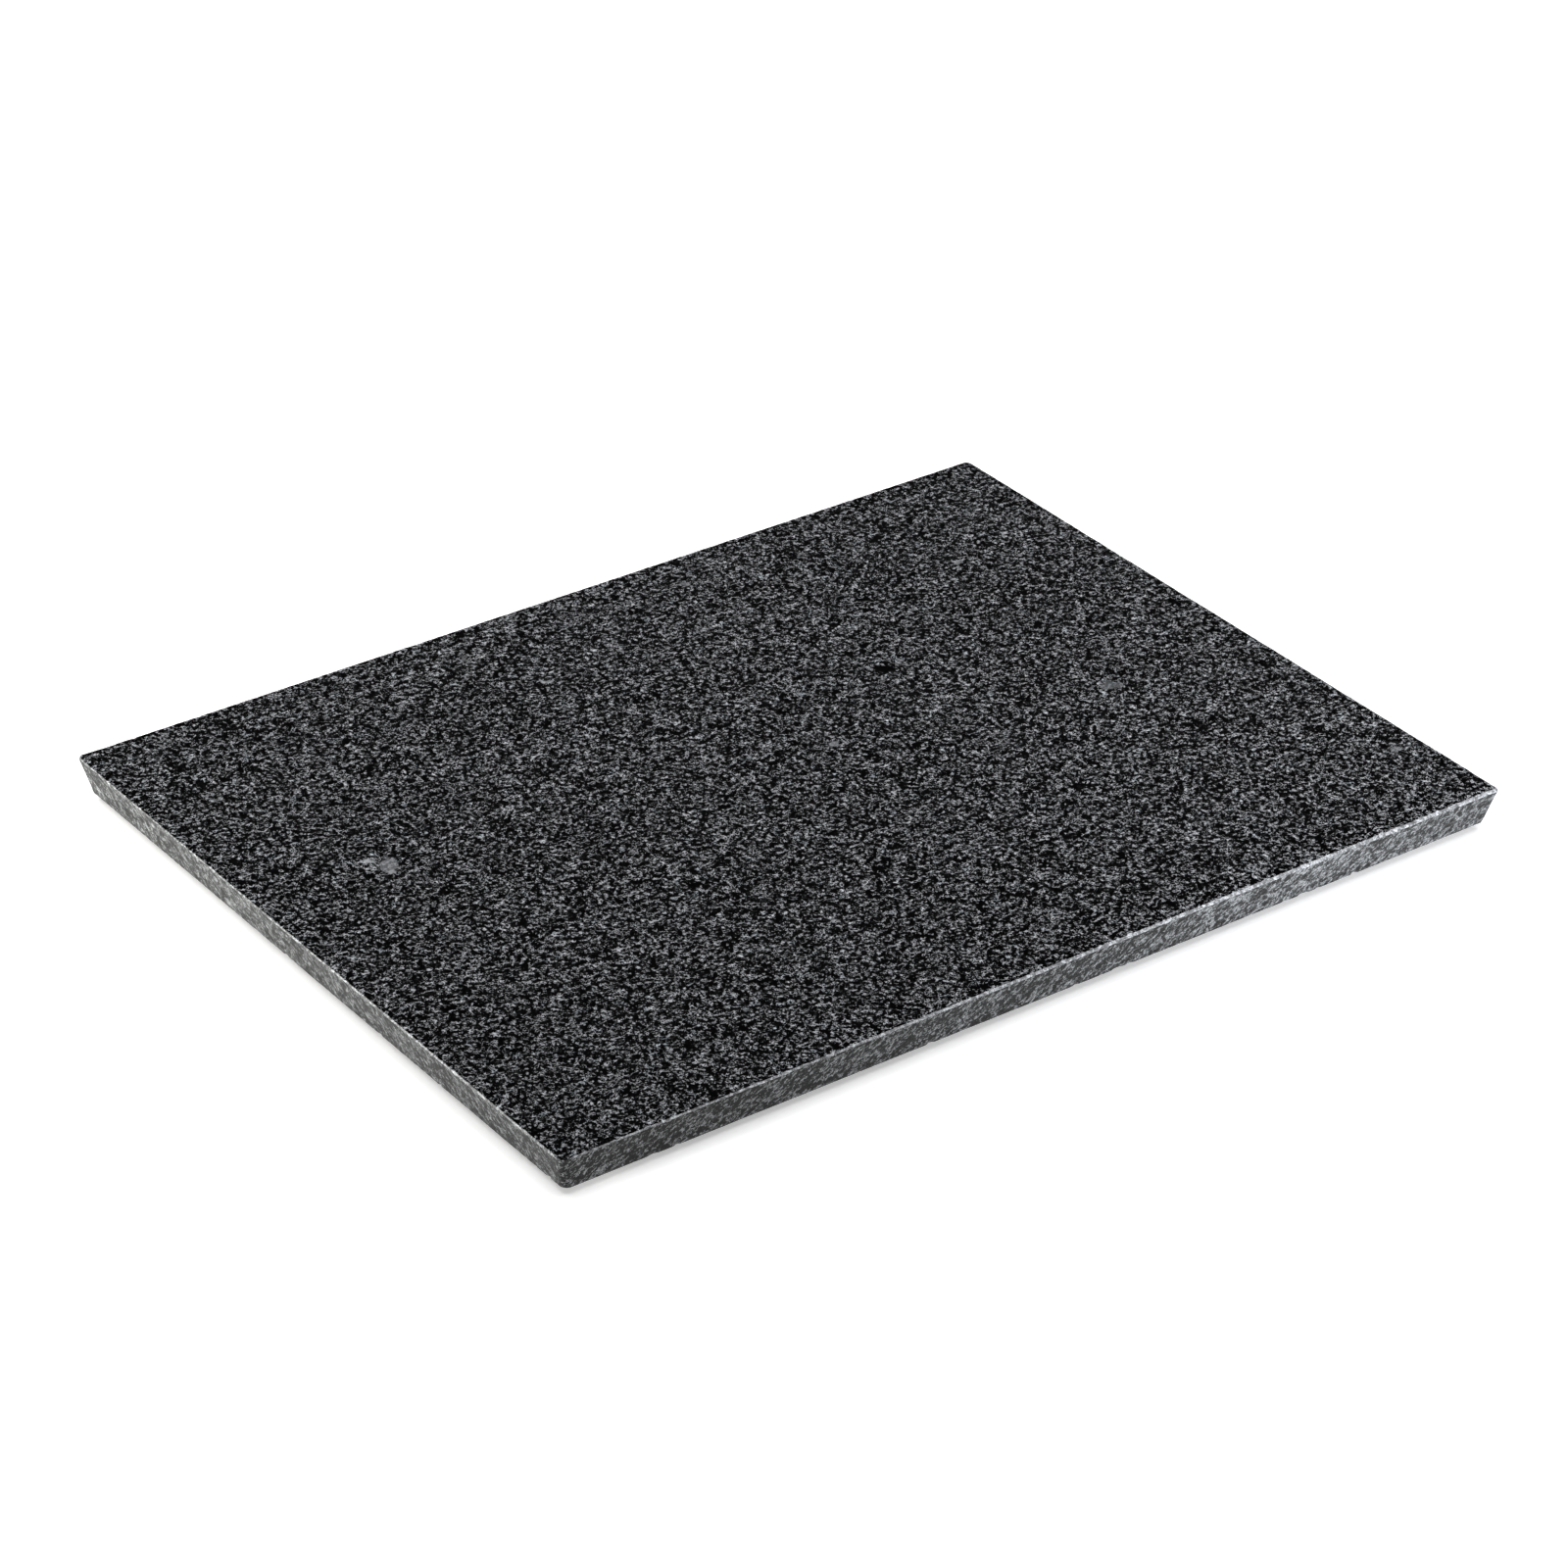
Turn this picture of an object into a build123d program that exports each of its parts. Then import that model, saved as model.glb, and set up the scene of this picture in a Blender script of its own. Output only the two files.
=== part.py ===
from build123d import *

import os
from math import radians, sin

# Granite slab for leather work: a polished stone plate on four self-adhesive rubber feet.
# The origin is the middle of the rectangle of feet, on the plane that they stand on.
# +X runs along the slab's long side, +Y towards its back and +Z out of its polished face.

os.makedirs("parts", exist_ok=True)

# Driving dimensions, in millimetres and degrees.

# The stone. Its widest outline lies just under the bevel round the polished face.
slab_length = 390.0
slab_width = 300.0
slab_thickness = 14.0
undercut_angle = 14.0  # how far the sides lean in towards the underside
corner_radius = 2.0  # the eased upright corners
top_arris = 0.8  # leg of the bevel round the polished face
bottom_arris = 0.5  # leg of the bevel round the underside

# A rubber foot: a moulded button with a shallow dimple in the middle of its tread.
foot_diameter = 20.0  # where it meets the adhesive
tread_diameter = 18.8  # where it stands
foot_height = 2.8
tread_edge_radius = 0.6
dimple_diameter = 7.0
dimple_depth = 0.6
foot_inset = 30.0  # from the slab's outline to a foot's centre

# The disc of adhesive that holds a foot to the stone.
adhesive_diameter = 18.5
adhesive_thickness = 0.2

# Heights and places that follow from the dimensions above.
slab_bottom = foot_height + adhesive_thickness
slab_top = slab_bottom + slab_thickness
lower_corner_angle = 90 + undercut_angle
arris_run = top_arris * sin(radians(undercut_angle))
sharp_length = slab_length + 2 * arris_run  # across the sharp upper edges, before the bevel
sharp_width = slab_width + 2 * arris_run
foot_x = slab_length / 2 - foot_inset
foot_y = slab_width / 2 - foot_inset
foot_places = {
    "front_left": (-foot_x, -foot_y),
    "front_right": (foot_x, -foot_y),
    "back_left": (-foot_x, foot_y),
    "back_right": (foot_x, foot_y),
}

# Profiles and discs are centred, and stand on the height that they are placed at.
profile_on_base = (Align.CENTER, Align.MIN)
solid_on_base = (Align.CENTER, Align.CENTER, Align.MIN)

# The slab: two crossed trapezoid profiles, then eased uprights and a bevel on both faces.
with BuildPart() as slab:
    with BuildSketch(Plane.XZ):
        with Locations((0, slab_bottom)):
            Trapezoid(sharp_length, slab_thickness, lower_corner_angle, align=profile_on_base)
    extrude(amount=slab_width, both=True)
    with BuildSketch(Plane.YZ):
        with Locations((0, slab_bottom)):
            Trapezoid(sharp_width, slab_thickness, lower_corner_angle, align=profile_on_base)
    extrude(amount=slab_length, both=True, mode=Mode.INTERSECT)
    flat_faces = slab.faces().filter_by(Plane.XY)
    fillet(slab.edges() - flat_faces.edges(), corner_radius)
    polished_face = slab.faces().sort_by(Axis.Z)[-1]
    chamfer(polished_face.edges(), top_arris)
    sawn_face = slab.faces().sort_by(Axis.Z)[0]
    chamfer(sawn_face.edges(), bottom_arris)
slab.part.label = "slab"
export_step(slab.part, "parts/slab.step")

# The feet, each with its adhesive disc between it and the stone.
for place, (x, y) in foot_places.items():
    with BuildPart() as foot:
        with Locations((x, y, 0)):
            Cone(tread_diameter / 2, foot_diameter / 2, foot_height, align=solid_on_base)
        fillet(foot.edges().sort_by(Axis.Z)[0], tread_edge_radius)
        with Locations((x, y, 0)):
            Cylinder(dimple_diameter / 2, dimple_depth, align=solid_on_base, mode=Mode.SUBTRACT)
    foot.part.label = f"foot_{place}"
    export_step(foot.part, f"parts/foot_{place}.step")

    with BuildPart() as adhesive:
        with Locations((x, y, foot_height)):
            Cylinder(adhesive_diameter / 2, adhesive_thickness, align=solid_on_base)
    adhesive.part.label = f"foot_adhesive_{place}"
    export_step(adhesive.part, f"parts/foot_adhesive_{place}.step")
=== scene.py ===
import math

import bpy
import numpy as np
from mathutils import Matrix, Vector, noise


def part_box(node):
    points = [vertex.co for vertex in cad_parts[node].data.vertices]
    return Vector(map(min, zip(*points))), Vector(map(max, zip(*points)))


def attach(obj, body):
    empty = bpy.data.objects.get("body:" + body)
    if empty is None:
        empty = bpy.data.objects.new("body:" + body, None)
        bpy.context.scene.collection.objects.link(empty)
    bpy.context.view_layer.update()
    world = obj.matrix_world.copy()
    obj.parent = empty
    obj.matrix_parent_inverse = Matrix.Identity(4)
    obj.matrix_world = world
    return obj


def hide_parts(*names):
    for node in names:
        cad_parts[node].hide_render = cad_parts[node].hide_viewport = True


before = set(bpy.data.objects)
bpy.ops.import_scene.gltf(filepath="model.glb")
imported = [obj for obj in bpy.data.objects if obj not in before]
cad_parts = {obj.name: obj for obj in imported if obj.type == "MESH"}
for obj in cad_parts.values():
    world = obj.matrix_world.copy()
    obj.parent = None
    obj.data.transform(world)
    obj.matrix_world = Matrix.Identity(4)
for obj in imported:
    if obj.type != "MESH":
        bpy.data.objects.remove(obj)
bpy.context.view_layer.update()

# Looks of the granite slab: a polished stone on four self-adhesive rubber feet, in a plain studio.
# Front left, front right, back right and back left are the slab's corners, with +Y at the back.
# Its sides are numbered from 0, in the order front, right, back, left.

# ---------------------------------------------------------------- shape
# Lengths are in metres, written in millimetres. Angles are in degrees.

MM = 0.001

SLAB_LOW, SLAB_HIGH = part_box("slab")
SLAB_THICKNESS = SLAB_HIGH.z - SLAB_LOW.z
UNDERCUT = math.tan(math.radians(14.0))  # how fast the sides lean in towards the underside
BEVEL_DROP = 0.77 * MM  # from the polished face down to the slab's widest outline
SIDE_HOLLOW = 0.04 * MM  # how far the sides are from flat

# The upright corners, from the front left one on round the slab.
CORNER_RADII = (2.4 * MM, 2.2 * MM, 2.8 * MM, 2.2 * MM)
LOWER_EASE = (0.6 * MM, 0.0, 0.6 * MM, -0.5 * MM)  # how much rounder each is at the underside
EASE_POWER = 3  # the easing gathers towards the underside

# The bevel is ground by hand. Its leg on the polished face, at the start and the end of each side.
BEVEL_LEGS = ((0.25 * MM, 1.2 * MM), (1.1 * MM, 0.8 * MM), (0.8 * MM, 0.7 * MM), (0.15 * MM, 0.45 * MM))
BEVEL_WAVE = 0.22  # how much the leg wanders, as a share of itself
BEVEL_CROWN = 0.12  # how much its face bulges, as a share of its drop
BEVEL_CHIP = 0.5 * MM
BEVEL_GAP = 4.5 * MM  # the bevel runs out this near to the front left corner
BEVEL_LEFT = 0.06  # what is left of it there, as a share
LOWER_BEVEL = 0.5 * MM  # round the underside
LOWER_CHIP = 0.9 * MM

EDGE_STEP = 0.5 * MM  # spacing of the mesh along the slab's sides
CORNER_STEPS = 12
BEVEL_ROWS = 3
SIDE_ROWS = 14

# Slots of the slab's mesh.
POLISHED, BEVELLED, HONED, SAWN = range(4)

# The feet and their adhesive discs. Their places, widths and heights come from the frame.
PLACES = ("front_left", "front_right", "back_left", "back_right")
FOOT_TURN = 107.0  # from one foot to the next: stuck on by hand, at no special angle
FIRST_FOOT_TURN = 23.0
DISC_TURN = 71.0  # the same for the discs
LATHE_STEPS = 96  # round each foot
ARC_STEPS = 6  # along each rounded edge of a profile
SHARP_ANGLE = 40.0  # a foot's steeper edges stay sharp
TREAD_RADIUS = 9.4 * MM
TREAD_EDGE = 0.6 * MM
DIMPLE_RADIUS = 3.5 * MM
DIMPLE_DEPTH = 0.6 * MM
DIMPLE_EDGE = 0.2 * MM
FLASH = 0.12 * MM  # the moulding line round the top of a foot
DISC_EDGE = 0.07 * MM

# ---------------------------------------------------------------- stone
# A tone goes from 0, black mica, to 1, pale feldspar. A layer of the stone has the size of its
# grains, patches or lines, and a gain: how far it moves the tone.

GRAIN_WARP = (1.2 * MM, 0.34 * MM)  # size of the ripples that make crystals ragged, and their reach
GRAIN_SIZE = 1.3 * MM
GRAIN_GAIN = 0.6
PATCH_SIZE = 1.85 * MM
PATCH_GAIN = 2.4
CLUMP_SIZE = 7.5 * MM
CLUMP_GAIN = 1.05
FINE_WARP = (1.0 * MM, 0.28 * MM)
FINE_GAIN = 0.22
VEIN_SIZES = (1.75 * MM, 1.4 * MM)
VEIN_WIDTH = 0.07  # how far from the middle of the line its noise still shows it
VEIN_GAIN = 0.56
CRACK_SIZE = 1.5 * MM
CRACK_WIDTH = 0.06
CRACK_GAIN = -0.45
TONE_SHIFT = -0.166

# Layers that mustn't follow each other read the noise in different places.
ASIDE = (0.4, 0.7, 0.2)
APART = (-0.3, 0.5, 0.6)
CRACKS_ASIDE = (0.1, 0.2, 0.3)
CLOUDS_ASIDE = (0.1, 0.3, 0.9)

# How the layers' sum turns into a tone: a wide step from mica up to feldspar.
MINERAL_STOPS = (
    (0.0, 0.02),
    (0.36, 0.06),
    (0.46, 0.33),
    (0.54, 0.45),
    (0.62, 0.43),
    (0.8, 0.45),
    (1.0, 0.56),
)

# Pale knots and dark clots in the polished face: x, y, half length and half width in millimetres,
# turn, and tone.
MARKINGS = (
    (-145, 27, 5.5, 3.8, 60, 0.76),
    (-149.5, 33, 3.0, 1.4, -45, 0.90),
    (-147, 23, 1.8, 0.9, 20, 0.80),
    (-33, 100, 2.8, 1.5, -30, 0.84),
    (142, 87, 2.6, 1.8, 10, 0.78),
    (183, -109, 2.4, 1.6, 0, 0.72),
    (130, -17, 5.0, 3.2, -27, 0.68),
    (170, 95, 1.5, 1.2, 0, 0.90),
    (25, 6, 3.0, 2.0, 45, 0.70),
    (177, -77, 1.3, 1.0, 0, 0.92),
    (79, -77, 1.3, 1.0, 20, 0.86),
    (-11, -8, 1.2, 1.0, 0, 0.95),
    (49, 131, 2.4, 2.0, 0, 0.70),
    (71, 38, 4.5, 2.4, -25, 0.20),
    (-44, -55, 1.6, 1.1, 30, 0.08),
    (-176, -58, 2.6, 1.6, 0, 0.16),
    (157, -61, 1.6, 1.2, 0, 0.10),
)
MARKING_WARP = (2.5 * MM, 1.6 * MM)
MARKING_EDGE = (0.7, 1.1)  # a marking fades out between these shares of its half length and width
MARKING_STRENGTH = 0.75  # how much of its tone replaces the stone's

# The surfaces. A gain and a lift turn a tone into a display level from 0, black, to 1, white.
DISPLAY_POWER = 2.2
POLISHED_GAIN = 1.10
POLISHED_LIFT = -0.289
POLISHED_PAINTED_LIGHT = (-0.22, 0.16)  # painted light: darker at the front left, paler at the front right
POLISHED_TINT = (0.963, 0.993, 1.053, 1.0)
POLISHED_ROUGHNESS = (0.12, 0.08)  # of mica and of feldspar
POLISHED_RELIEF = 0.002 * MM
BLUISH_TINT = (0.95, 1.0, 1.03, 1.0)  # of a few crystals
BLUISH_PICK = (0.92, 0.95)  # a crystal's random number, from not bluish to bluish
BLUISH_SIZE = 2.6 * MM
BLUISH_WARP = (2.0 * MM, 0.6 * MM)

BEVEL_LEVELS = (0.53, 0.43)  # in the front quarter and at the back
BEVEL_PAINTED_LIGHT = 0.01  # painted light: a little paler towards the right
BEVEL_STONE_GAIN = 0.42
BEVEL_MARK_GAIN = 0.40
BEVEL_MARK_STRETCH = (0.3, 0.3, 1.0)
BEVEL_TINT = (0.97, 0.99, 1.03, 1.0)
BEVEL_ROUGHNESS = 0.42
BEVEL_SPECULAR = 0.3
BEVEL_RELIEF = 0.03 * MM
SCRATCH_SIZE = 0.7 * MM

HONED_LIFT = -0.218
HONED_LEAN = -0.6  # the sides' grain and streaks lean over by this share of their height
HONED_STRETCH = (1.0, 1.0, 0.5)  # draws the grain out upwards
HONED_PAINTED_SHEEN = 0.215  # painted sheen: lifts the right end by this much over the left end, growing from the one X to the other
HONED_PAINTED_SHEEN_RUN = (0.8 * SLAB_LOW.x, 0.6 * SLAB_HIGH.x)  # growing from the one X to the other
HONED_CLEAR_UNDER_SHEEN = (1.0, 0.60)  # how much of the grain shows through the painted sheen at the left end and the right one
HONED_PALEST = 0.66  # grain paler than this shows no paler
STREAK_STRETCH = (1.0, 1.0, 0.25)
STREAK_GAIN = 0.50
HONED_CLOUD_SIZE = 4.0 * MM
HONED_CLOUD_GAIN = 0.10
HONED_TINT = (0.97, 1.0, 1.025, 1.0)
HONED_ROUGHNESS = (0.45, 0.62)
HONED_SPECULAR = 0.15
HONED_RELIEF = 0.02 * MM

SAWN_LEVEL = 0.40
SAWN_STONE_GAIN = 0.22
SAWN_ARC_GAIN = 0.03
SAWN_GRIT_GAIN = 0.12
SAWN_GRIT_SIZE = 0.6 * MM
SAWN_ROUGHNESS = 0.85
SAWN_RELIEF = 0.12 * MM
SAW_OFFSET = (0.0, 0.9, 0.0)  # the blade turned about a point this far in front of the slab

# ---------------------------------------------------------------- rubber and adhesive

RUBBER_LEVEL = 0.018
RUBBER_GRAIN_SIZE = 0.35 * MM
RUBBER_GRAIN_GAIN = 0.012
RUBBER_COOLNESS = 1.04  # its blue over its red and green
RUBBER_RELIEF = 0.03 * MM
WEAR_GAIN = 0.05  # how much paler the dusty tread is
WEAR_HEIGHT = (0.9 * MM, 0.1 * MM)  # the dust begins at the first, and is thickest at the second
SMEAR_SIZE = 3.0 * MM
SMEAR_EDGE = (0.42, 0.68)
RUBBER_ROUGHNESS = (0.52, 0.8)  # clean and dusty

FILM_COLOUR = (0.78, 0.76, 0.70, 1.0)
GLUE_COLOUR = (0.62, 0.59, 0.51, 1.0)
SPECK_COLOUR = (0.12, 0.11, 0.10, 1.0)
SPECK_SIZE = 0.3 * MM
SPECK_PICK = (0.93, 0.97)
SPECK_STRENGTH = 0.6
GLUE_CLOUD_SIZE = 2.2 * MM
GLUE_ROUGHNESS = (0.28, 0.5)
GLUE_RELIEF = 0.02 * MM

# ---------------------------------------------------------------- stage

# The camera looks down on the front left corner, through a long lens.
CAMERA_AZIMUTH = -36.36
CAMERA_ELEVATION = 30.78
CAMERA_ROLL = 0.69
CAMERA_LENS_MM = 121.57
CAMERA_SENSOR_MM = 36.0
CAMERA_DISTANCE = 1821.5 * MM
CAMERA_AIM = Vector((-5.6 * MM, -5.9 * MM, SLAB_HIGH.z))

FLOOR_SIZE = 40.0
FLOOR_COLOUR = (0.92, 0.92, 0.92, 1.0)
FLOOR_ROUGHNESS = 0.9
FLOOR_GLOW = 0.35

# The room's brightness at each height looked towards, from 0 at the horizon to 1 straight up.
ROOM_STOPS = ((0.0, 0.6), (0.1, 0.5), (0.18, 0.004), (0.78, 0.004), (0.88, 1.0), (1.0, 1.0))
ROOM_STRENGTH = 3.8

# Two low strip lights: place, the point that each faces, beam, power in watts, and colour. The
# right one lights the right half of the front side, and the left one the back of the left side.
STRIP_LENGTH = 200 * MM
STRIP_HEIGHT = 50 * MM
STRIPS = {
    "right_strip": (
        Vector((0.18, -0.51, 0.035)),
        Vector((0.18, -0.15, 0.01)),
        90.0,
        0.85,
        (0.97, 1.0, 1.05),
    ),
    "left_strip": (
        Vector((-0.555, 0.16, 0.035)),
        Vector((-0.195, 0.13, 0.01)),
        120.0,
        2.0,
        (1.0, 1.0, 0.93),
    ),
}

# ---------------------------------------------------------------- shader helpers


def plug(tree, socket, value):
    """Joins value to a socket, or sets the socket when value is a plain number or colour."""
    if isinstance(value, bpy.types.NodeSocket):
        tree.links.new(value, socket)
    else:
        socket.default_value = value


def add(tree, kind, inputs=None, **settings):
    """Adds a shader node with its settings and inputs, and returns it."""
    node = tree.nodes.new("ShaderNode" + kind)
    for name, value in settings.items():
        setattr(node, name, value)
    for name, value in (inputs or {}).items():
        plug(tree, node.inputs[name], value)
    return node


def calc(tree, operation, a, b=0.0):
    """One step of arithmetic."""
    return add(tree, "Math", {0: a, 1: b}, operation=operation).outputs[0]


def total(tree, first, *others):
    """Adds several values."""
    for other in others:
        first = calc(tree, "ADD", first, other)
    return first


def scaled(tree, value, gain):
    """A value times another."""
    return calc(tree, "MULTIPLY", value, gain)


def centred(tree, value, gain):
    """Turns 0 to 1 into minus half to plus half of gain."""
    return scaled(tree, calc(tree, "SUBTRACT", value, 0.5), gain)


def spread(tree, value, low, high, to_low=0.0, to_high=1.0):
    """Maps low..high onto to_low..to_high, and holds it there."""
    inputs = {"Value": value, "From Min": low, "From Max": high, "To Min": to_low, "To Max": to_high}
    return add(tree, "MapRange", inputs, clamp=True).outputs["Result"]


def blend(tree, share, a, b, mode="MIX"):
    """Mixes two colours. A Mix node has its colours in sockets 6 and 7, and their mix in output 2."""
    node = add(tree, "Mix", data_type="RGBA", blend_type=mode)
    plug(tree, node.inputs["Factor"], share)
    plug(tree, node.inputs[6], a)
    plug(tree, node.inputs[7], b)
    return node.outputs[2]


def tint(tree, colour, by):
    """A colour times another one."""
    return blend(tree, 1.0, colour, by, "MULTIPLY")


def grey(tree, level):
    """The colour with that much red, green and blue."""
    return add(tree, "CombineColor", {"Red": level, "Green": level, "Blue": level}).outputs[0]


def ramp(tree, value, stops):
    """A ramp from (place, grey) pairs."""
    node = add(tree, "ValToRGB", {"Fac": value})
    points = node.color_ramp.elements
    while len(points) < len(stops):
        points.new(0.5)
    for point, (place, level) in zip(points, stops):
        point.position = place
        point.color = (level, level, level, 1.0)
    return node.outputs["Color"]


def here(tree):
    """The place on the piece that is being shaded."""
    return add(tree, "TexCoord").outputs["Object"]


def axes(tree, place):
    """A place's X, Y and Z."""
    return add(tree, "SeparateXYZ", {"Vector": place}).outputs


def moved(tree, place, offset):
    """Places moved by an offset, where a pattern looks different."""
    return add(tree, "VectorMath", {0: place, 1: offset}, operation="ADD").outputs[0]


def stretched(tree, place, scale):
    """Places scaled along each axis."""
    return add(tree, "VectorMath", {0: place, 1: scale}, operation="MULTIPLY").outputs[0]


def cloud(tree, place, size, detail=1.0, roughness=0.5):
    """Soft noise from 0 to 1 whose patches are about size across."""
    inputs = {"Vector": place, "Scale": 1.0 / size, "Detail": detail, "Roughness": roughness}
    return add(tree, "TexNoise", inputs).outputs["Fac"]


def warp(tree, place, size, reach):
    """Pushes places about by up to reach, in patches of that size."""
    inputs = {"Vector": place, "Scale": 1.0 / size, "Detail": 2.0}
    swirl = add(tree, "TexNoise", inputs).outputs["Color"]
    push = add(tree, "VectorMath", {0: swirl, 1: (0.5, 0.5, 0.5)}, operation="SUBTRACT").outputs[0]
    shift = add(tree, "VectorMath", {0: push, "Scale": 2.0 * reach}, operation="SCALE").outputs[0]
    return moved(tree, place, shift)


def crystals(tree, place, size):
    """Three random numbers for each crystal of about that size."""
    cells = add(tree, "TexVoronoi", {"Vector": place, "Scale": 1.0 / size}, feature="F1")
    return add(tree, "SeparateColor", {"Color": cells.outputs["Color"]}).outputs


def threads(tree, place, size, width):
    """Thin curving lines: 1 in the middle of a line, 0 away from it."""
    off_line = calc(tree, "ABSOLUTE", centred(tree, cloud(tree, place, size), 1.0))
    return spread(tree, off_line, 0.0, width, 1.0, 0.0)


def rings(tree, place, **shape):
    """Rings about the Z axis, with the Wave texture's own inputs."""
    inputs = {"Vector": place}
    for name, value in shape.items():
        inputs[name.replace("_", " ").title()] = value
    return add(tree, "TexWave", inputs, wave_type="RINGS", rings_direction="Z").outputs["Fac"]


def bump(tree, height, depth):
    """A surface normal from a height of 0 to 1 that stands for depth."""
    inputs = {"Height": height, "Distance": depth, "Strength": 1.0}
    return add(tree, "Bump", inputs).outputs["Normal"]


def new_material(name):
    """An empty node material and its tree."""
    material = bpy.data.materials.new(name)
    material.use_nodes = True
    material.node_tree.nodes.clear()
    return material, material.node_tree


def finish_material(tree, colour, roughness, normal=None, specular=0.5, glow=0.0):
    """Ends a tree with a Principled surface."""
    inputs = {
        "Base Color": colour,
        "Roughness": roughness,
        "Specular IOR Level": specular,
        "Emission Color": (1.0, 1.0, 1.0, 1.0),
        "Emission Strength": glow,
    }
    shader = add(tree, "BsdfPrincipled", inputs)
    if normal is not None:
        tree.links.new(normal, shader.inputs["Normal"])
    output = add(tree, "OutputMaterial")
    tree.links.new(shader.outputs[0], output.inputs["Surface"])


# ---------------------------------------------------------------- granite


def minerals(tree, place):
    """The stone itself, the same inside and out: its tone."""
    aside = moved(tree, place, ASIDE)
    apart = moved(tree, place, APART)
    ragged = warp(tree, place, *GRAIN_WARP)

    grains = centred(tree, crystals(tree, ragged, GRAIN_SIZE)["Red"], GRAIN_GAIN)
    patches = centred(tree, cloud(tree, ragged, PATCH_SIZE), PATCH_GAIN)
    clumps = centred(tree, cloud(tree, aside, CLUMP_SIZE, detail=3.0, roughness=0.7), CLUMP_GAIN)
    base = ramp(tree, total(tree, 0.5, grains, patches, clumps), MINERAL_STOPS)

    first_veins = threads(tree, aside, VEIN_SIZES[0], VEIN_WIDTH)
    second_veins = threads(tree, apart, VEIN_SIZES[1], VEIN_WIDTH)
    veins = scaled(tree, calc(tree, "MAXIMUM", first_veins, second_veins), VEIN_GAIN)
    off_grain = moved(tree, ragged, CRACKS_ASIDE)
    cracks = scaled(tree, threads(tree, off_grain, CRACK_SIZE, CRACK_WIDTH), CRACK_GAIN)
    fine = centred(tree, crystals(tree, warp(tree, aside, *FINE_WARP), GRAIN_SIZE)["Blue"], FINE_GAIN)
    tone = total(tree, base, veins, cracks, fine, TONE_SHIFT)
    return calc(tree, "MAXIMUM", tone, 0.0)


def marked(tree, place, tone):
    """Lays the pale knots and dark clots of MARKINGS over the stone's tone."""
    ragged = warp(tree, place, *MARKING_WARP)
    for x, y, half_length, half_width, turn, mark_tone in MARKINGS:
        inputs = {
            "Vector": ragged,
            "Location": (x * MM, y * MM, SLAB_HIGH.z),
            "Rotation": (0.0, 0.0, math.radians(turn)),
            "Scale": (half_length * MM, half_width * MM, half_width * MM),
        }
        local = add(tree, "Mapping", inputs, vector_type="TEXTURE").outputs[0]
        reach = add(tree, "VectorMath", {0: local}, operation="LENGTH").outputs["Value"]
        share = spread(tree, reach, *MARKING_EDGE, MARKING_STRENGTH, 0.0)
        change = calc(tree, "SUBTRACT", mark_tone, tone)
        tone = total(tree, tone, scaled(tree, share, change))
    return tone


def shade_of(tree, tone, gain=1.0, lift=0.0):
    """The grey that a tone has on a surface."""
    shown = calc(tree, "MAXIMUM", total(tree, scaled(tree, tone, gain), lift), 0.0)
    return grey(tree, calc(tree, "POWER", shown, DISPLAY_POWER))


def tinted(tree, place, colour):
    """Cools the stone a little, and some of its crystals a little more."""
    colour = tint(tree, colour, POLISHED_TINT)
    pick = crystals(tree, warp(tree, place, *BLUISH_WARP), BLUISH_SIZE)["Green"]
    bluish = tint(tree, colour, BLUISH_TINT)
    return blend(tree, spread(tree, pick, *BLUISH_PICK), colour, bluish)


def granite_polished():
    """The worked face, polished dark, with painted light: darker at the front left, paler at the front
    right.
    """
    material, tree = new_material("granite_polished")
    place = here(tree)
    tone = marked(tree, place, minerals(tree, place))
    colour = tinted(tree, place, shade_of(tree, tone, POLISHED_GAIN, POLISHED_LIFT))
    parts = axes(tree, place)
    # Painted light: the face is darker towards the front left corner and paler towards the front right
    # one.
    painted_light_reach = spread(tree, parts["Y"], SLAB_LOW.y, SLAB_HIGH.y, 1.0, 0.0)
    painted_light_drift = spread(tree, parts["X"], SLAB_LOW.x, SLAB_HIGH.x, *POLISHED_PAINTED_LIGHT)
    colour = tint(tree, colour, total(tree, 1.0, scaled(tree, painted_light_reach, painted_light_drift)))
    roughness = spread(tree, tone, 0.0, 0.8, *POLISHED_ROUGHNESS)
    finish_material(tree, colour, roughness, bump(tree, tone, POLISHED_RELIEF))
    return material


def leaning(tree, place):
    """Places sheared, so that upright marks on the sides lean over."""
    parts = axes(tree, place)
    lean = scaled(tree, parts["Z"], HONED_LEAN)
    sheared = {"X": total(tree, parts["X"], lean), "Y": total(tree, parts["Y"], lean), "Z": parts["Z"]}
    return add(tree, "CombineXYZ", sheared).outputs[0]


def scratches(tree, place, stretch):
    """Fine grinding marks, drawn out along the axes that have a small stretch."""
    return cloud(tree, stretched(tree, place, stretch), SCRATCH_SIZE, detail=2.0, roughness=0.6)


def granite_bevel():
    """The bevel, ground by hand to a pale, scratched band, with a little painted light that makes it
    paler towards the right.
    """
    material, tree = new_material("granite_bevel")
    place = here(tree)
    tone = minerals(tree, place)
    marks = scratches(tree, place, BEVEL_MARK_STRETCH)
    parts = axes(tree, place)
    level = spread(tree, parts["Y"], SLAB_LOW.y / 2, SLAB_HIGH.y, *BEVEL_LEVELS)
    # Painted light: the bevel is a little paler towards the right.
    painted_light_drift = spread(tree, parts["X"], SLAB_LOW.x, 0.0, -BEVEL_PAINTED_LIGHT, BEVEL_PAINTED_LIGHT)
    grain = centred(tree, tone, BEVEL_STONE_GAIN)
    pale = total(tree, level, painted_light_drift, grain, centred(tree, marks, BEVEL_MARK_GAIN))
    colour = tint(tree, shade_of(tree, pale), BEVEL_TINT)
    finish_material(tree, colour, BEVEL_ROUGHNESS, bump(tree, marks, BEVEL_RELIEF), BEVEL_SPECULAR)
    return material


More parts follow.
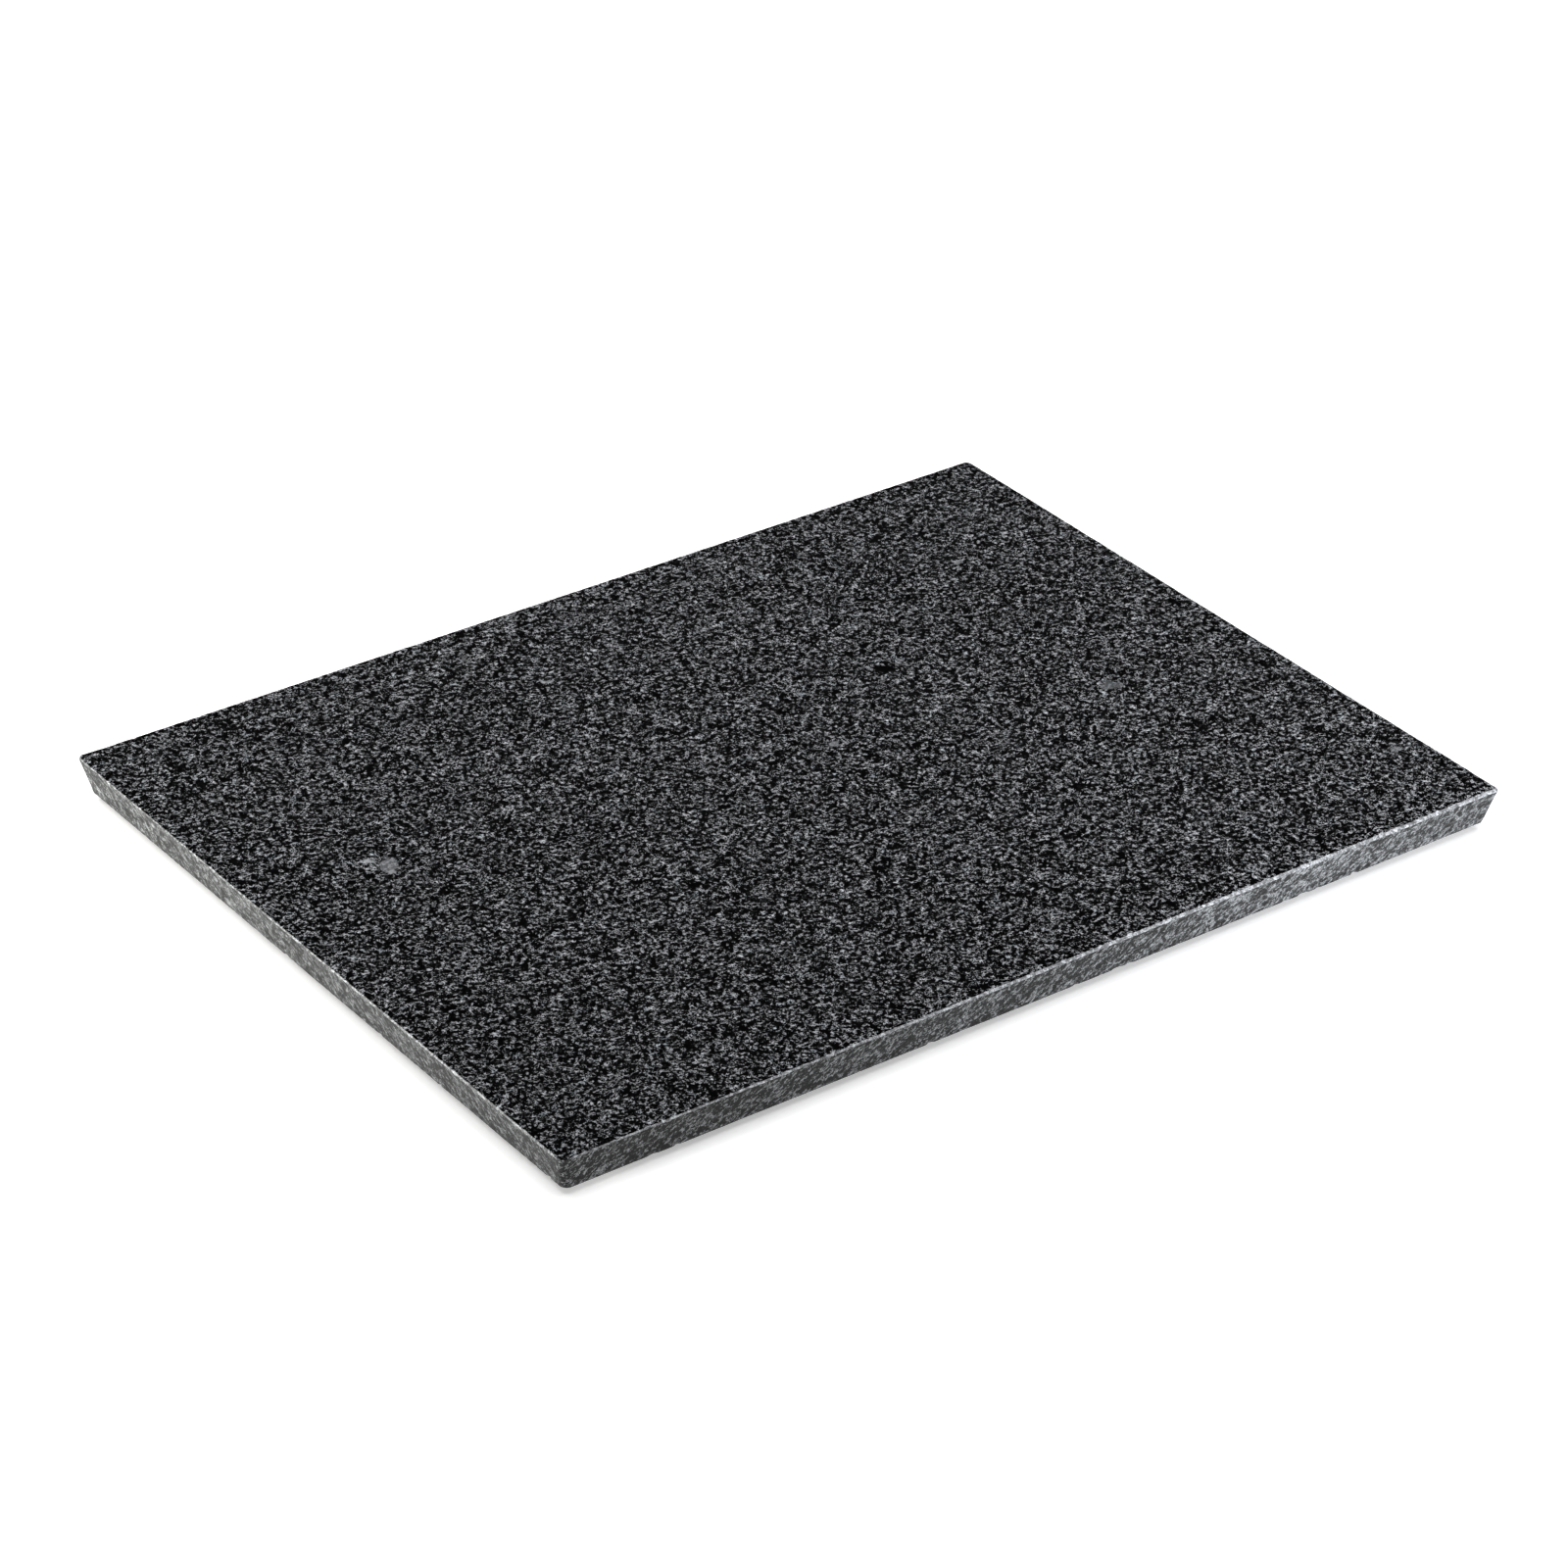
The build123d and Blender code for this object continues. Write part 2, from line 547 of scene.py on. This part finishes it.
def granite_honed():
    """The sides, honed but not polished: the stone shows through a pale, streaked haze, with a painted
    sheen that makes the right end paler and washes out its grain.
    """
    material, tree = new_material("granite_honed")
    place = leaning(tree, here(tree))
    tone = minerals(tree, stretched(tree, place, HONED_STRETCH))
    streaks = scratches(tree, place, STREAK_STRETCH)
    clouds = cloud(tree, moved(tree, place, CLOUDS_ASIDE), HONED_CLOUD_SIZE, detail=2.0)
    along = axes(tree, here(tree))["X"]
    # Painted sheen: the sides get paler towards the right end, and their grain shows less there.
    painted_sheen = spread(tree, along, *HONED_PAINTED_SHEEN_RUN, 0.0, HONED_PAINTED_SHEEN)
    clear = spread(tree, along, SLAB_LOW.x, SLAB_HIGH.x, *HONED_CLEAR_UNDER_SHEEN)
    grain = scaled(tree, calc(tree, "MINIMUM", tone, HONED_PALEST), clear)
    streaked = centred(tree, streaks, STREAK_GAIN)
    clouded = centred(tree, clouds, HONED_CLOUD_GAIN)
    veiled = total(tree, HONED_LIFT, painted_sheen, grain, streaked, clouded)
    colour = tint(tree, shade_of(tree, veiled), HONED_TINT)
    roughness = spread(tree, streaks, 0.3, 0.7, *HONED_ROUGHNESS)
    finish_material(tree, colour, roughness, bump(tree, streaks, HONED_RELIEF), HONED_SPECULAR)
    return material


def granite_sawn():
    """The underside, left as the saw cut it: dull, with shallow arcs from the blade."""
    material, tree = new_material("granite_sawn")
    place = here(tree)
    tone = minerals(tree, place)
    from_blade = moved(tree, place, SAW_OFFSET)
    arcs = rings(tree, from_blade, scale=40.0, distortion=1.5, detail=3.0, detail_scale=3.0)
    grit = cloud(tree, place, SAWN_GRIT_SIZE, detail=2.0)
    grain = centred(tree, tone, SAWN_STONE_GAIN)
    arc_marks = centred(tree, arcs, SAWN_ARC_GAIN)
    dull = total(tree, SAWN_LEVEL, grain, arc_marks, centred(tree, grit, SAWN_GRIT_GAIN))
    height = total(tree, scaled(tree, arcs, 0.6), scaled(tree, grit, 0.4))
    finish_material(tree, shade_of(tree, dull), SAWN_ROUGHNESS, bump(tree, height, SAWN_RELIEF))
    return material


# ---------------------------------------------------------------- slab mesh


class Outline:
    """Places round a rectangle with rounded corners, the same number on every ring of the slab."""

    def __init__(self, length, width, radii, eases):
        spans = [length, width, length, width]
        corners = [Vector((-1, -1)), Vector((1, -1)), Vector((1, 1)), Vector((-1, 1))]
        rows = []
        for side in range(4):
            after = (side + 1) % 4
            start = corners[side]
            end = corners[after]
            facing = math.radians(-90 + 90 * side)
            across = (math.cos(facing), math.sin(facing))
            steps = round(spans[side] / EDGE_STEP)
            for i in range(steps):
                share = i / steps
                along = start.lerp(end, share)
                radius = radii[side] + (radii[after] - radii[side]) * share
                ease = eases[side] + (eases[after] - eases[side]) * share
                rows.append((*along, *across, radius, ease, side + share))
            for i in range(CORNER_STEPS):
                turned = facing + math.radians(90) * i / CORNER_STEPS
                across = (math.cos(turned), math.sin(turned))
                rows.append((*end, *across, radii[after], eases[after], side + 1.0))
        table = np.array(rows)
        self.centre = table[:, 0:2]  # where its arc or side is centred, as a share of the reach
        self.normal = table[:, 2:4]
        self.radius = table[:, 4]
        self.ease = table[:, 5]
        self.way = table[:, 6]  # how far round: the side's number, plus the share of it
        self.half = np.array((length, width)) / 2

    def ring(self, inset, depth, cut=0.0):
        """The ring at a depth. Inset keeps its corners' radii, and cut takes from them."""
        inset, depth, cut = (np.zeros(len(self.way)) + value for value in (inset, depth, cut))
        radius = self.radius + self.ease * (depth / SLAB_THICKNESS) ** EASE_POWER
        reach = self.half - radius[:, None] - inset[:, None]
        flat = self.centre * reach + self.normal * (radius - cut)[:, None]
        return np.column_stack([flat, SLAB_HIGH.z - depth])


def waves(points, size, seed):
    """Smooth noise from -1 to 1 at each place, with waves about size long."""
    return np.array([noise.noise(Vector((x / size, y / size, seed))) for x, y in points[:, :2]])


def chips(points, size, seed, rarity):
    """Mostly 0, rising to about 1 where the edge has lost a chip."""
    return np.clip((waves(points, size, seed) - rarity) / (0.8 - rarity), 0.0, 1.0)


def bevel_legs(outline, places):
    """The bevel's leg on the polished face, all the way round, without its chips."""
    ways = []
    legs = []
    for side, leg_pair in enumerate(BEVEL_LEGS):
        ways += [side + 0.02, side + 0.98]
        legs += leg_pair
    leg = np.interp(outline.way, ways, legs, period=4.0)
    slow = waves(places, size=6 * MM, seed=1.0)
    quick = waves(places, size=2 * MM, seed=4.0)
    return leg * (1.0 + BEVEL_WAVE * slow + BEVEL_WAVE * quick)


def slab_rings(outline, places, from_corner):
    """The rings of the slab, from the polished face's edge down to the underside's."""
    fade = np.clip(3.0 * (from_corner / BEVEL_GAP - 0.7), BEVEL_LEFT, 1.0)  # whole just past the gap
    upper_chip = BEVEL_CHIP * chips(places, size=3 * MM, seed=5.0, rarity=0.42)
    leg = fade * (bevel_legs(outline, places) + upper_chip)
    even_drop = BEVEL_DROP * np.clip(0.3 + leg / MM, 0.0, 1.0)  # a thin bevel is a shallow one
    drop = fade * (even_drop + 0.05 * MM * waves(places, size=4 * MM, seed=2.0))
    lower_bevel = LOWER_BEVEL * (1.0 + 0.3 * waves(places, size=8 * MM, seed=3.0))
    lower_chip = LOWER_CHIP * chips(places, size=4 * MM, seed=6.0, rarity=0.38)

    stack = []
    for row in range(BEVEL_ROWS):
        share = row / BEVEL_ROWS
        crown = BEVEL_CROWN * drop * math.sin(math.pi * share)
        stack.append(outline.ring(0.0, drop * share - crown, leg * (1.0 - share)))
    for row in range(SIDE_ROWS + 1):
        depth = drop + (SLAB_THICKNESS - lower_bevel - drop) * row / SIDE_ROWS
        hollow = SIDE_HOLLOW * waves(places + 0.4 * row * MM, size=11 * MM, seed=7.0)
        chip = lower_chip * max(0.0, 1.0 - (SIDE_ROWS - row) / 1.5)  # in the lowest two rows
        stack.append(outline.ring((depth - BEVEL_DROP) * UNDERCUT + hollow, depth, chip))
    inset = (SLAB_THICKNESS - lower_bevel - BEVEL_DROP) * UNDERCUT
    middle = 0.35 * lower_bevel  # under half, so the lower bevel bulges a little
    stack.append(outline.ring(inset, SLAB_THICKNESS - middle, middle + lower_chip))
    stack.append(outline.ring(inset, SLAB_THICKNESS, lower_bevel + lower_chip))
    return stack


def make_slab():
    """The stone as one closed mesh, with a hand-ground bevel round its polished face."""
    outline = Outline(SLAB_HIGH.x - SLAB_LOW.x, SLAB_HIGH.y - SLAB_LOW.y, CORNER_RADII, LOWER_EASE)
    places = outline.ring(0.0, 0.0)
    from_corner = np.hypot(places[:, 0] - SLAB_LOW.x, places[:, 1] - SLAB_LOW.y)
    stack = slab_rings(outline, places, from_corner)

    count = len(places)
    faces = [tuple(range(count))]
    finishes = [POLISHED]
    for row in range(len(stack) - 1):
        upper = row * count
        lower = upper + count
        for i in range(count):
            j = (i + 1) % count
            faces.append((upper + i, lower + i, lower + j, upper + j))
            bevelled = row < BEVEL_ROWS and from_corner[i] > 0.75 * BEVEL_GAP
            finishes.append(BEVELLED if bevelled else HONED)
    last = (len(stack) - 1) * count
    faces.append(tuple(last + count - 1 - i for i in range(count)))
    finishes.append(SAWN)

    mesh = bpy.data.meshes.new("granite_slab")
    mesh.from_pydata(np.concatenate(stack).tolist(), [], faces)
    mesh.polygons.foreach_set("material_index", finishes)
    mesh.polygons.foreach_set("use_smooth", [True] * len(faces))
    sharp_rows = (0, BEVEL_ROWS, len(stack) - 1)
    for edge in mesh.edges:
        row, other = (vertex // count for vertex in edge.vertices)
        edge.use_edge_sharp = row == other and row in sharp_rows
    mesh.update()
    for material in (granite_polished(), granite_bevel(), granite_honed(), granite_sawn()):
        mesh.materials.append(material)
    slab = bpy.data.objects.new("granite_slab", mesh)
    bpy.context.scene.collection.objects.link(slab)
    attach(slab, "root")
    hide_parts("slab")


# ---------------------------------------------------------------- feet


def foot_rubber():
    """Black moulded rubber, dusty on the tread, with the mould's fine turning marks."""
    material, tree = new_material("foot_rubber")
    place = here(tree)
    grain = cloud(tree, place, RUBBER_GRAIN_SIZE, detail=3.0, roughness=0.6)
    smears = cloud(tree, place, SMEAR_SIZE, detail=3.0, roughness=0.6)
    near_tread = spread(tree, axes(tree, place)["Z"], *WEAR_HEIGHT)
    worn = scaled(tree, near_tread, spread(tree, smears, *SMEAR_EDGE))
    specks = centred(tree, grain, RUBBER_GRAIN_GAIN)
    level = total(tree, RUBBER_LEVEL, scaled(tree, worn, WEAR_GAIN), specks)
    cool = {"Red": level, "Green": level, "Blue": scaled(tree, level, RUBBER_COOLNESS)}
    colour = add(tree, "CombineColor", cool).outputs[0]
    turning_marks = rings(tree, place, scale=320.0, distortion=0.4, detail=1.0)
    height = total(tree, scaled(tree, turning_marks, 0.35), scaled(tree, grain, 0.65))
    roughness = spread(tree, worn, 0.0, 1.0, *RUBBER_ROUGHNESS)
    finish_material(tree, colour, roughness, bump(tree, height, RUBBER_RELIEF))
    return material


def foot_adhesive():
    """A pale carrier film between two clear layers of glue, a little cloudy and speckled with dust."""
    material, tree = new_material("foot_adhesive")
    place = here(tree)
    cloudy = cloud(tree, place, GLUE_CLOUD_SIZE, detail=3.0, roughness=0.6)
    specks = spread(tree, crystals(tree, place, SPECK_SIZE)["Red"], *SPECK_PICK)
    pale = blend(tree, cloudy, FILM_COLOUR, GLUE_COLOUR)
    colour = blend(tree, scaled(tree, specks, SPECK_STRENGTH), pale, SPECK_COLOUR)
    roughness = spread(tree, cloudy, 0.3, 0.7, *GLUE_ROUGHNESS)
    finish_material(tree, colour, roughness, bump(tree, cloudy, GLUE_RELIEF))
    return material


def arc(centre, radius, start, end):
    """A profile's points (distance from the axis, height) along an arc, from angle start to end."""
    angles = [math.radians(start + (end - start) * i / ARC_STEPS) for i in range(ARC_STEPS + 1)]
    return [(centre[0] + radius * math.cos(a), centre[1] + radius * math.sin(a)) for a in angles]


def lathe(name, profile, material):
    """A closed solid of revolution about Z. The profile starts and ends on the axis."""
    vertices = [(0.0, 0.0, profile[0][1])]
    for radius, height in profile[1:-1]:
        for i in range(LATHE_STEPS):
            turn = math.tau * i / LATHE_STEPS
            vertices.append((radius * math.cos(turn), radius * math.sin(turn), height))
    vertices.append((0.0, 0.0, profile[-1][1]))

    faces = []
    last = len(vertices) - 1
    for i in range(LATHE_STEPS):
        j = (i + 1) % LATHE_STEPS
        faces.append((0, 1 + i, 1 + j))
        for ring in range(len(profile) - 3):
            upper = 1 + ring * LATHE_STEPS
            lower = upper + LATHE_STEPS
            faces.append((upper + i, lower + i, lower + j, upper + j))
        faces.append((last, last - LATHE_STEPS + j, last - LATHE_STEPS + i))

    mesh = bpy.data.meshes.new(name)
    mesh.from_pydata(vertices, [], faces)
    mesh.polygons.foreach_set("use_smooth", [True] * len(faces))
    mesh.set_sharp_from_angle(angle=math.radians(SHARP_ANGLE))
    mesh.materials.append(material)
    piece = bpy.data.objects.new(name, mesh)
    bpy.context.scene.collection.objects.link(piece)
    return piece


def foot_profile(radius, height):
    """From the middle of the glued face, out over the flash and the wall, to the middle of the dimple."""
    wall_lean = math.degrees(math.atan2(radius - TREAD_RADIUS, height))
    points = [(0.0, height), (radius - 2.0 * FLASH, height), (radius, height - 0.5 * FLASH)]
    points += [(radius, height - 1.5 * FLASH), (radius - FLASH, height - 2.5 * FLASH)]
    points += arc((TREAD_RADIUS - TREAD_EDGE, TREAD_EDGE), TREAD_EDGE, wall_lean, -90.0)
    points += arc((DIMPLE_RADIUS + DIMPLE_EDGE, DIMPLE_EDGE), DIMPLE_EDGE, -90.0, -180.0)
    points += arc((DIMPLE_RADIUS - DIMPLE_EDGE, DIMPLE_DEPTH - DIMPLE_EDGE), DIMPLE_EDGE, 0.0, 90.0)
    return points + [(0.0, DIMPLE_DEPTH)]


def disc_profile(radius, low, high):
    """A thin disc whose soft edge bulges a little."""
    middle = (low + high) / 2
    flat = radius - DISC_EDGE
    return [(0.0, high), (flat, high), (radius, middle), (flat, low), (0.0, low)]


def place_on_foot(piece, node, turn):
    """Puts a lathed piece on the axis of the CAD node that it replaces, and turns it."""
    low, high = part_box(node)
    piece.location = ((low.x + high.x) / 2, (low.y + high.y) / 2, 0.0)
    piece.rotation_euler = (0.0, 0.0, math.radians(turn))
    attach(piece, "root")
    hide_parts(node)


def make_feet():
    """The four feet and the adhesive discs that hold them."""
    rubber = foot_rubber()
    glue = foot_adhesive()
    for number, corner in enumerate(PLACES):
        low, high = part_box("foot_" + corner)
        foot = lathe("rubber_foot_" + corner, foot_profile((high.x - low.x) / 2, high.z), rubber)
        place_on_foot(foot, "foot_" + corner, FIRST_FOOT_TURN + FOOT_TURN * number)
        low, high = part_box("foot_adhesive_" + corner)
        disc = lathe("adhesive_disc_" + corner, disc_profile((high.x - low.x) / 2, low.z, high.z), glue)
        place_on_foot(disc, "foot_adhesive_" + corner, DISC_TURN * number)


# ---------------------------------------------------------------- floor, lights and camera


def make_floor():
    """A plain pale floor that glows a little, like a light table."""
    material, tree = new_material("light_table")
    finish_material(tree, FLOOR_COLOUR, FLOOR_ROUGHNESS, glow=FLOOR_GLOW)
    bpy.ops.mesh.primitive_plane_add(size=FLOOR_SIZE, location=(0, 0, 0))
    floor = bpy.context.object
    floor.name = "floor"
    floor.data.materials.append(material)


def aim(thing, target):
    """Turns a light's or the camera's face towards a point."""
    thing.rotation_mode = "QUATERNION"
    thing.rotation_quaternion = (target - thing.location).to_track_quat("-Z", "Y")


def make_strip(name, place, target, beam, power, colour):
    """A long low soft light that faces a point, hidden from the camera."""
    light = bpy.data.lights.new(name, "AREA")
    light.shape = "RECTANGLE"
    light.size = STRIP_LENGTH
    light.size_y = STRIP_HEIGHT
    light.spread = math.radians(beam)
    light.energy = power
    light.color = colour
    strip = bpy.data.objects.new(name, light)
    strip.location = place
    strip.visible_camera = False
    bpy.context.scene.collection.objects.link(strip)
    aim(strip, target)


def make_studio():
    """A bright ceiling, a dark band lower down that keeps the polish black, and a pale horizon."""
    world = bpy.data.worlds.new("studio")
    world.use_nodes = True
    tree = world.node_tree
    tree.nodes.clear()
    direction = add(tree, "TexCoord").outputs["Generated"]
    light = ramp(tree, axes(tree, direction)["Z"], ROOM_STOPS)
    background = add(tree, "Background", {"Color": light, "Strength": ROOM_STRENGTH})
    output = add(tree, "OutputWorld")
    tree.links.new(background.outputs[0], output.inputs["Surface"])
    bpy.context.scene.world = world
    for name, settings in STRIPS.items():
        make_strip(name, *settings)
    bpy.context.scene.view_settings.view_transform = "Standard"


def make_camera():
    """The camera, on a line out of the aim point."""
    azimuth = math.radians(CAMERA_AZIMUTH)
    elevation = math.radians(CAMERA_ELEVATION)
    level = math.cos(elevation)
    back = Vector((math.sin(azimuth) * level, -math.cos(azimuth) * level, math.sin(elevation)))
    roll = Matrix.Rotation(math.radians(CAMERA_ROLL), 3, "Z").to_quaternion()
    camera = bpy.data.objects.new("camera", bpy.data.cameras.new("camera"))
    camera.data.lens = CAMERA_LENS_MM
    camera.data.sensor_width = CAMERA_SENSOR_MM
    camera.location = CAMERA_AIM + back * CAMERA_DISTANCE
    aim(camera, CAMERA_AIM)
    camera.rotation_quaternion = camera.rotation_quaternion @ roll
    bpy.context.scene.collection.objects.link(camera)
    bpy.context.scene.camera = camera


make_slab()
make_feet()
make_floor()
make_studio()
make_camera()
